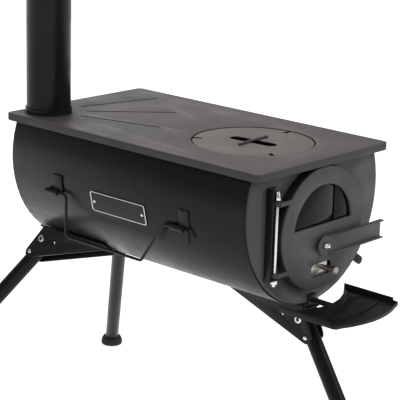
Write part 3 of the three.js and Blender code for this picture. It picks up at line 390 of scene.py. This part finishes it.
def painted_result(build, given, geometry, label):
    """Ends a tree with real geometry in the given finish."""
    real = build.add("GeometryNodeRealizeInstances")
    painted = build.add("GeometryNodeSetMaterial")
    result = build.add("NodeGroupOutput")
    build.link(geometry, real.inputs["Geometry"])
    build.link(real.outputs["Geometry"], painted.inputs["Geometry"])
    build.link(given.outputs["Finish"], painted.inputs["Material"])
    build.link(painted.outputs["Geometry"], result.inputs[label])


def wire_tree():
    """Sweeps a round wire along a polyline, with every corner bent to a radius."""
    tree = bpy.data.node_groups.new("bent_wire", "GeometryNodeTree")
    input_socket(tree, "Path", "NodeSocketGeometry")
    input_socket(tree, "Wire Radius", "NodeSocketFloat", BAIL_WIRE)
    input_socket(tree, "Bend Radius", "NodeSocketFloat", 8 * MM)
    input_socket(tree, "Sides", "NodeSocketInt", 20)
    input_socket(tree, "Finish", "NodeSocketMaterial")
    tree.interface.new_socket(name="Wire", in_out="OUTPUT", socket_type="NodeSocketGeometry")
    build = Tree(tree)
    given = build.add("NodeGroupInput")
    curve = build.add("GeometryNodeMeshToCurve")
    fillet = build.add("GeometryNodeFilletCurve", mode="POLY")
    fillet.inputs["Count"].default_value = 8
    profile = build.add("GeometryNodeCurvePrimitiveCircle", mode="RADIUS")
    sweep = build.add("GeometryNodeCurveToMesh")
    sweep.inputs["Fill Caps"].default_value = True
    build.link(given.outputs["Path"], curve.inputs["Mesh"])
    build.link(curve.outputs["Curve"], fillet.inputs["Curve"])
    build.link(given.outputs["Bend Radius"], fillet.inputs["Radius"])
    build.link(given.outputs["Wire Radius"], profile.inputs["Radius"])
    build.link(given.outputs["Sides"], profile.inputs["Resolution"])
    build.link(fillet.outputs["Curve"], sweep.inputs["Curve"])
    build.link(profile.outputs["Curve"], sweep.inputs["Profile Curve"])
    painted_result(build, given, sweep.outputs["Mesh"], "Wire")
    return tree


def rivet_tree():
    """Sets a domed rivet head on every point of a mesh, standing along that point's normal."""
    tree = bpy.data.node_groups.new("rivet_heads", "GeometryNodeTree")
    input_socket(tree, "Places", "NodeSocketGeometry")
    input_socket(tree, "Head Radius", "NodeSocketFloat", 2.4 * MM)
    input_socket(tree, "Head Height", "NodeSocketFloat", 1.2 * MM)
    input_socket(tree, "Finish", "NodeSocketMaterial")
    tree.interface.new_socket(name="Rivets", in_out="OUTPUT", socket_type="NodeSocketGeometry")
    build = Tree(tree)
    given = build.add("NodeGroupInput")
    ball = build.add("GeometryNodeMeshUVSphere")
    ball.inputs["Segments"].default_value = 20
    ball.inputs["Rings"].default_value = 12
    ball.inputs["Radius"].default_value = 1.0
    size = build.add("ShaderNodeCombineXYZ")
    build.link(given.outputs["Head Radius"], size.inputs["X"])
    build.link(given.outputs["Head Radius"], size.inputs["Y"])
    build.link(given.outputs["Head Height"], size.inputs["Z"])
    facing = build.add("GeometryNodeInputNamedAttribute", data_type="FLOAT_VECTOR")
    facing.inputs["Name"].default_value = "facing"
    turn = build.add("FunctionNodeAlignRotationToVector", axis="Z")
    build.link(facing.outputs["Attribute"], turn.inputs["Vector"])
    scatter = build.add("GeometryNodeInstanceOnPoints")
    build.link(given.outputs["Places"], scatter.inputs["Points"])
    build.link(ball.outputs["Mesh"], scatter.inputs["Instance"])
    build.link(turn.outputs["Rotation"], scatter.inputs["Rotation"])
    build.link(size.outputs["Vector"], scatter.inputs["Scale"])
    painted_result(build, given, scatter.outputs["Instances"], "Rivets")
    return tree


WIRE = wire_tree()
RIVETS = rivet_tree()


def grown(name, mesh, tree, **values):
    """Runs a geometry tree on a mesh with the given named inputs and keeps the plain result."""
    obj = object_from(name, mesh)
    modifier = obj.modifiers.new(tree.name, "NODES")
    modifier.node_group = tree
    identifiers = {item.name: item.identifier for item in tree.interface.items_tree
                   if item.item_type == "SOCKET" and item.in_out == "INPUT"}
    for label, value in values.items():
        modifier[identifiers[label.replace("_", " ")]] = value
    return settled(obj)


def path_mesh(name, points, closed=False):
    """A bare polyline, open or closed."""
    mesh = bpy.data.meshes.new(name)
    edges = [(i, i + 1) for i in range(len(points) - 1)]
    if closed:
        edges.append((len(points) - 1, 0))
    mesh.from_pydata([tuple(p) for p in points], edges, [])
    return mesh


def places_mesh(name, places):
    """Bare points with the direction that each one faces, from (point, direction) pairs."""
    mesh = bpy.data.meshes.new(name)
    mesh.from_pydata([tuple(point) for point, _ in places], [], [])
    facing = mesh.attributes.new("facing", "FLOAT_VECTOR", "POINT")
    for i, (_, direction) in enumerate(places):
        facing.data[i].vector = direction
    return mesh


# ------------------------------------------------------------------ firebox, hotplate and lid
dress("firebox_shell", body_black, ease=0.5, crease=30)
dress("front_plate", painted_light_black, ease=0.4, crease=50)
dress("rear_plate", painted_light_black, ease=0.4, crease=50)
dress("hotplate", plate_grey, ease=0.8)
dress("lid_ring", soot_black, ease=0.0)
dress("lid", lid_grey, ease=0.25)
dress("lid_cup", soot_black, ease=0.2)
dress("lid_bar", plate_grey, ease=0.4)


# ------------------------------------------------------------------ flue
def flue_pipe():
    """A straight tube with a bead under its narrowed top, which slips into the next one."""
    outer = (pipe_high.x - pipe_low.x) / 2
    top = pipe_high.z - pipe_low.z
    wall, ease = 1.2 * MM, 0.3 * MM
    spigot, step, slope = 32 * MM, 1.8 * MM, 5 * MM
    shoulder = top - spigot
    narrow = outer - step
    bead_out, bead_tall, bead_steps = 1.1 * MM, 6 * MM, 8
    bead_low = shoulder - 9 * MM
    bead = [(outer + bead_out * math.sin(math.pi * i / bead_steps), bead_low + bead_tall * i / bead_steps)
            for i in range(1, bead_steps)]
    profile = [
        (outer - wall, 0.0), (outer - ease, 0.0), (outer, ease), (outer, bead_low), *bead,
        (outer, bead_low + bead_tall), (outer, shoulder), (narrow, shoulder + slope), (narrow, top),
        (narrow - wall, top), (narrow - wall, shoulder + slope), (outer - wall, shoulder),
        (outer - wall, 0.0),
    ]
    pipe = turned("flue_pipe_finished", profile, flue_axis, UP, 96)
    place_piece(pipe, "flue_pipe", slot_of["flue_pipe"], pipe_black, "flue_pipe")


def flue_collar():
    """The low ring round the pipe's foot, flared below and rolled at its rim."""
    low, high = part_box("flue_collar")
    radius = (high.x - low.x) / 2
    height = high.z - low.z
    wall, flare, rim_drop = 1.5 * MM, 0.2 * MM, 0.9 * MM
    rim = wall / 2
    ring = [
        (radius - wall, 0.0), (radius + flare, 0.0), (radius, wall), (radius, height - rim_drop),
        *arc((radius - rim, height - rim), rim, 0, 180, 8), (radius - wall, 0.0),
    ]
    collar = turned("flue_collar_finished", ring, (flue_axis.x, flue_axis.y, low.z), UP, 96)
    place_piece(collar, "stove", slot_of["flue_collar"], pipe_black, "flue_collar")


flue_pipe()
flue_collar()

# ------------------------------------------------------------------ door and ash shelf
dress("door_collar", soot_black, ease=0.3)
dress("door_panel", painted_light_black, ease=0.7)
dress("window_glass_left", window_dark, ease=0.2)
dress("window_glass_right", window_dark, ease=0.2)
dress("glass_retainer", soot_black, ease=0.2)
dress("hinge_bracket", black, ease=0.4)
dress("hinge_rod", stainless, ease=0.4)
dress("hinge_acorn_nut", stainless, ease=0.3)
dress("hinge_nut", stainless, ease=0.3)
dress("latch_handle", painted_light_black)
dress("latch_spindle", stainless, ease=0.2)
dress("latch_cam", soot_black, ease=0.3)
dress("latch_nut", stainless, ease=0.3)
dress("air_slider", slider_steel, ease=0.2)
dress("air_guide_upper", soot_black, ease=0.2)
dress("air_guide_lower", soot_black, ease=0.2)
dress("ash_shelf", black)


def air_knob():
    """The slider's knob: a stout post that ends in a wider head with a rounded rim."""
    low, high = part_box("air_knob")
    head = (high.x - low.x) / 2
    length = high.y - low.y
    post, foot, foot_tall, foot_slope = 4.0 * MM, 5.0 * MM, 1.5 * MM, 0.7 * MM
    head_thick, ease, rim = 8.0 * MM, 0.6 * MM, 1.4 * MM
    neck = length - head_thick
    profile = [
        (0.0, 0.0), (foot, 0.0), (foot, foot_tall), (post, foot_tall + foot_slope), (post, neck),
        (head - ease, neck), (head, neck + ease), *arc((head - rim, length - rim), rim, 0, 90, 6),
        (0.0, length),
    ]
    middle = (low + high) / 2
    knob = turned("air_knob_finished", profile, (middle.x, high.y, middle.z), (0, -1, 0), 48)
    place_piece(knob, "air_control", slot_of["air_knob"], knob_steel, "air_knob")


air_knob()


# ------------------------------------------------------------------ name plate
PLATE_LIFT = 0.3 * MM  # the name plate's back over the body's skin
PLATE_SHEET = 1.0 * MM
PLATE_CORNER = 5 * MM


def oval(z):
    """Half the body's width at a height, and the outward slope there."""
    if z > body_high.z:
        return body_half, 0.0
    t = max(-1.0, min(1.0, (z - oval_middle) / OVAL_REACH))
    level = math.sqrt(1 - t * t)
    return body_half * level, math.atan2(t * body_half, OVAL_REACH * level)


def on_left_side(y, z, lift):
    """A point over the body's skin, on its left side, and the direction that it faces."""
    x, slope = oval(z)
    normal = Vector((-math.cos(slope), 0, math.sin(slope)))
    return Vector((-x, y, z)) + normal * lift, normal


def name_plate_edges():
    """The plate's front, rear, lower and upper edge."""
    low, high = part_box("name_plate")
    trim = 0.3 * MM
    return low.y, high.y, low.z + trim, high.z - trim


def name_plate():
    """A bare enamelled plate, bent to the body's left side."""
    y0, y1, z0, z1 = name_plate_edges()
    rows, columns = 14, 30

    def rounded(u, v):
        """Pulls the grid's corners in to an arc."""
        y, z = y0 + (y1 - y0) * u, z0 + (z1 - z0) * v
        cy = min(max(y, y0 + PLATE_CORNER), y1 - PLATE_CORNER)
        cz = min(max(z, z0 + PLATE_CORNER), z1 - PLATE_CORNER)
        off = Vector((y - cy, z - cz))
        if min(abs(off.x), abs(off.y)) > 1e-9:
            off = off.normalized() * max(abs(off.x), abs(off.y))
        return cy + off.x, cz + off.y

    bm = bmesh.new()
    grid = []
    for r in range(rows + 1):
        places = [rounded(c / columns, r / rows) for c in range(columns + 1)]
        grid.append([bm.verts.new(on_left_side(y, z, PLATE_LIFT)[0]) for y, z in places])
    for r in range(rows):
        for c in range(columns):
            bm.faces.new([grid[r][c], grid[r + 1][c], grid[r + 1][c + 1], grid[r][c + 1]])
    bmesh.ops.recalc_face_normals(bm, faces=bm.faces)
    if sum(f.normal.x for f in bm.faces) > 0:
        bmesh.ops.reverse_faces(bm, faces=bm.faces)
    plate = object_from("name_plate_finished", mesh_of("name_plate_finished", bm))
    solidify = plate.modifiers.new("thickness", "SOLIDIFY")
    solidify.thickness = PLATE_SHEET
    solidify.offset = 1.0
    settled(plate)
    place_piece(plate, "stove", slot_of["name_plate"], enamel, "name_plate")


def name_plate_border():
    """A bright raised line just inside the plate's edge."""
    y0, y1, z0, z1 = name_plate_edges()
    front, rear, lower, upper = y0 + PLATE_CORNER, y1 - PLATE_CORNER, z0 + PLATE_CORNER, z1 - PLATE_CORNER
    bend = PLATE_CORNER - 1.1 * MM
    corners = ((rear, upper, 0), (front, upper, 90), (front, lower, 180), (rear, lower, 270))
    route = [place for y, z, start in corners for place in arc((y, z), bend, start, start + 90, 6)]
    line = [on_left_side(y, z, PLATE_LIFT + PLATE_SHEET)[0] for y, z in route]
    rim = grown("name_plate_border", path_mesh("border_path", line, closed=True), WIRE,
                Wire_Radius=0.85 * MM, Bend_Radius=0.5 * MM, Sides=12, Finish=stainless)
    place_piece(rim, "stove", slot_of["name_plate"], stainless)


def name_plate_rivets():
    """The domed heads of the plate's two rivets."""
    spots = []
    for node in ("name_plate_rivet_front", "name_plate_rivet_rear"):
        rivet_low, rivet_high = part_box(node)
        centre = (rivet_low + rivet_high) / 2
        spots.append(on_left_side(centre.y, centre.z, PLATE_LIFT + PLATE_SHEET))
    heads = grown("name_plate_rivets", places_mesh("rivet_places", spots), RIVETS,
                  Head_Radius=2.6 * MM, Head_Height=1.3 * MM, Finish=stainless)
    place_piece(heads, "stove", slot_of["name_plate_rivet_front"], stainless,
                "name_plate_rivet_front", "name_plate_rivet_rear")


name_plate()
name_plate_border()
name_plate_rivets()


# ------------------------------------------------------------------ ear at the front seam
def front_ear():
    """A small rounded ear that stands out of the seam behind the front plate, low on the right."""
    below_middle, lean = math.radians(44), math.radians(33)
    width, reach, buried, sheet = 13 * MM, 21 * MM, 2 * MM, 2.5 * MM
    drop = OVAL_REACH * math.sin(below_middle)
    root = Vector((body_half * math.cos(below_middle), 0, oval_middle - drop))
    out = Vector((math.cos(lean), 0, -math.sin(lean)))
    across = Vector((-out.z, 0, out.x))
    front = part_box("front_plate")[0].y + 3 * MM
    tip = arc((reach - width / 2, 0), width / 2, -90, 90, 14)
    outline = [(-buried, -width / 2), *tip, (-buried, width / 2)]
    bm = bmesh.new()
    rings = []
    for y in (front, front + sheet):
        rings.append([bm.verts.new(root + out * u + across * v + Vector((0, y, 0))) for u, v in outline])
    bm.faces.new(rings[0])
    bm.faces.new(rings[1][::-1])
    for i in range(len(outline)):
        j = (i + 1) % len(outline)
        bm.faces.new([rings[0][i], rings[0][j], rings[1][j], rings[1][i]])
    bmesh.ops.recalc_face_normals(bm, faces=bm.faces)
    ear = object_from("front_ear", mesh_of("front_ear", bm))
    bevel = ear.modifiers.new("eased_edges", "BEVEL")
    bevel.width = 0.4 * MM
    bevel.segments = 2
    settled(ear)
    place_piece(ear, "stove", slot_of["front_plate"], black)


front_ear()


# ------------------------------------------------------------------ bail handles
def bail(side_name):
    """A spring-wire handle bent along the same route as its CAD solid, and its two clips."""
    handle_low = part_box(f"bail_handle_{side_name}")[0]
    pivot = Vector(joints[f"bail_swing_{side_name}"]["pos_m"])
    rear_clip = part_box(f"handle_clip_rear_{side_name}")[1].y
    front_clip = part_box(f"handle_clip_front_{side_name}")[1].y
    grip = handle_low.z + BAIL_WIRE
    rear_tail, front_tail, tail_drop = 3.6 * MM, 1 * MM, 18 * MM
    grip_rear = rear_clip - 44 * MM
    grip_front = front_clip + 60 * MM
    slope_top = front_clip + 14 * MM
    tip = handle_low.y + BAIL_WIRE
    route = [
        (rear_clip + rear_tail, pivot.z), (grip_rear, pivot.z), (grip_rear, grip), (grip_front, grip),
        (slope_top, pivot.z), (tip + front_tail, pivot.z), (tip, pivot.z - tail_drop),
    ]
    wire = grown(f"bail_handle_{side_name}_finished",
                 path_mesh("bail_path", [(pivot.x, y, z) for y, z in route]), WIRE,
                 Wire_Radius=BAIL_WIRE, Bend_Radius=6.5 * MM, Sides=20, Finish=black)
    place_piece(wire, f"bail_{side_name}", slot_of[f"bail_handle_{side_name}"], black,
                f"bail_handle_{side_name}")
    dress(f"handle_clip_rear_{side_name}", black, ease=0.2)
    dress(f"handle_clip_front_{side_name}", black, ease=0.2)


for side_name in SIDES:
    bail(side_name)


# ------------------------------------------------------------------ legs
def leg_line(name):
    """Where a leg pivots, which way it points and how long it is, from its joint and its foot's box."""
    pivot = Vector(joints[f"leg_fold_{name}"]["pos_m"])
    foot_low, foot_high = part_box(f"foot_{name}")
    sole = (foot_low + foot_high) / 2
    end = Vector((sole.x, sole.y, foot_low.z))
    for _ in range(6):
        lean = math.acos((pivot - end).normalized().z)
        end.z = foot_low.z + FOOT_FLOOR + LEG_RADIUS * math.sin(lean)
    return pivot, (end - pivot).normalized(), (end - pivot).length


def leg_tube(name):
    """A straight tube, open below, with a domed top past its pivot."""
    pivot, along, length = leg_line(name)
    wall, top, straight = 1.5 * MM, 35 * MM, 2 * MM
    bore = LEG_RADIUS - wall
    dome = top - LEG_RADIUS
    profile = [
        (0.0, top), *arc((0.0, dome), LEG_RADIUS, 80, 10, 7), (LEG_RADIUS, dome - straight),
        (LEG_RADIUS, -length), (bore, -length), (bore, dome), (0.0, dome),
    ]
    tube = turned(f"leg_{name}_finished", profile, pivot, -along, 48)
    place_piece(tube, f"leg_{name}", slot_of[f"leg_{name}"], pipe_black, f"leg_{name}")


def leg_foot(name):
    """A rubber foot: a grooved sole, a round shoulder and a tapered mouth for the tube."""
    foot_low, foot_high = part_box(f"foot_{name}")
    centre = (foot_low + foot_high) / 2
    groove_in, groove_out, groove_deep, groove_slope = 13 * MM, 16 * MM, 1 * MM, 0.6 * MM
    wide, edge, side_tall, shoulder = 20 * MM, 3 * MM, 6 * MM, 14 * MM
    tall, mouth_tall, neck, mouth = 24 * MM, 3 * MM, 10 * MM, 8.5 * MM
    rubber = [
        (0.0, 0.0), (groove_in, 0.0), (groove_in + groove_slope, groove_deep),
        (groove_out - groove_slope, groove_deep), (groove_out, 0.0),
        *arc((wide - edge, edge), edge, -90, 0, 5), (wide, side_tall),
        *arc((wide - shoulder, side_tall), shoulder, 10, 62, 8),
        (neck, tall - mouth_tall), (mouth, tall), (0.0, tall),
    ]
    foot = turned(f"foot_{name}_finished", rubber, (centre.x, centre.y, foot_low.z), UP, 64)
    place_piece(foot, f"leg_{name}", slot_of[f"foot_{name}"], foot_rubber, f"foot_{name}")


for leg_name in LEGS:
    leg_tube(leg_name)
    leg_foot(leg_name)
    dress(f"leg_bracket_{leg_name}", black)
    dress(f"lock_ring_{leg_name}", stainless, ease=0.2)
    dress(f"leg_pivot_{leg_name}", stainless, ease=0.2)


# ------------------------------------------------------------------ floor, lights and camera
def either_ray(tree, first, second):
    """1 for a ray of either kind, by the light path's names."""
    seen = tree.add("ShaderNodeLightPath")
    rays = tree.add("ShaderNodeMath", operation="MAXIMUM")
    tree.link(seen.outputs[first], rays.inputs[0])
    tree.link(seen.outputs[second], rays.inputs[1])
    return rays.outputs["Value"]


def picked(tree, factor, plain, seen, output):
    """Gives the output one shader where the factor is 0 and another where it is 1."""
    pick = tree.add("ShaderNodeMixShader")
    tree.link(factor, pick.inputs["Fac"])
    tree.link(plain, pick.inputs[1])
    tree.link(seen, pick.inputs[2])
    tree.link(pick.outputs["Shader"], output.inputs["Surface"])


def stage():
    """A pale matt floor that glows a little where the camera or a gloss sees it."""
    material = bpy.data.materials.new("pale_floor")
    tree = emptied(material)
    output = tree.add("ShaderNodeOutputMaterial")
    matt = tree.add("ShaderNodeBsdfDiffuse")
    matt.inputs["Color"].default_value = (0.82, 0.82, 0.82, 1)
    glow = tree.add("ShaderNodeEmission")
    glow.inputs["Color"].default_value = (1, 1, 1, 1)
    glow.inputs["Strength"].default_value = 0.8
    both = tree.add("ShaderNodeAddShader")
    tree.link(matt.outputs["BSDF"], both.inputs[0])
    tree.link(glow.outputs["Emission"], both.inputs[1])
    rays = either_ray(tree, "Is Camera Ray", "Is Glossy Ray")
    picked(tree, rays, matt.outputs["BSDF"], both.outputs["Shader"], output)
    bm = bmesh.new()
    bmesh.ops.create_grid(bm, x_segments=2, y_segments=2, size=6.0)
    floor = object_from("floor", mesh_of("floor", bm))
    floor.location.z = -0.5 * MM
    floor.data.materials.append(material)


def backdrop(tree, colour, strength):
    background = tree.add("ShaderNodeBackground")
    background.inputs["Color"].default_value = (*colour, 1)
    background.inputs["Strength"].default_value = strength
    return background.outputs["Background"]


def world():
    """Soft daylight on the stove, and plain white where the camera sees past it."""
    surroundings = bpy.data.worlds.new("studio")
    scene.world = surroundings
    tree = emptied(surroundings)
    output = tree.add("ShaderNodeOutputWorld")
    soft = backdrop(tree, (0.93, 0.94, 0.96), 0.34)
    white = backdrop(tree, (1, 1, 1), 1.0)
    picked(tree, either_ray(tree, "Is Camera Ray", "Is Transmission Ray"), soft, white, output)


def soft_box(name, place, aim, size, power):
    """A square-cornered area lamp that points at the stove."""
    lamp = bpy.data.lights.new(name, "AREA")
    lamp.shape = "RECTANGLE"
    lamp.size, lamp.size_y = size
    lamp.energy = power
    obj = object_from(name, lamp)
    obj.location = place
    obj.rotation_euler = (Vector(aim) - Vector(place)).to_track_quat("-Z", "Y").to_euler()


def camera():
    """Stands where the photograph was taken from, as worked out from the object's straight edges."""
    azimuth, elevation, roll = (math.radians(a) for a in (-47.715, 15.629, 1.57))
    from_plate = Vector((-1.69076, -1.55792, 1.07111))
    back = Vector((math.sin(azimuth) * math.cos(elevation), -math.cos(azimuth) * math.cos(elevation),
                   math.sin(elevation)))
    right = Vector(UP).cross(back).normalized()
    level = Matrix((right, back.cross(right), back)).transposed()
    data = bpy.data.cameras.new("camera")
    data.sensor_width = 36.0
    data.lens = 137.84
    data.clip_end = 50.0
    obj = object_from("camera", data)
    turn = level @ Matrix.Rotation(roll, 3, "Z")
    obj.matrix_world = Matrix.Translation(plate_middle + from_plate) @ turn.to_4x4()
    scene.camera = obj


stage()
world()
soft_box("key", place=(-2.2, -1.2, 3.0), aim=(0, 0, 0.45), size=(2.4, 2.4), power=30)
soft_box("fill", place=(1.6, -3.2, 1.8), aim=(0, 0, 0.45), size=(2.6, 2.0), power=26)
soft_box("rim", place=(1.5, 2.8, 2.4), aim=(0, 0, 0.5), size=(2.4, 1.8), power=24)
camera()
scene.view_settings.view_transform = "Standard"
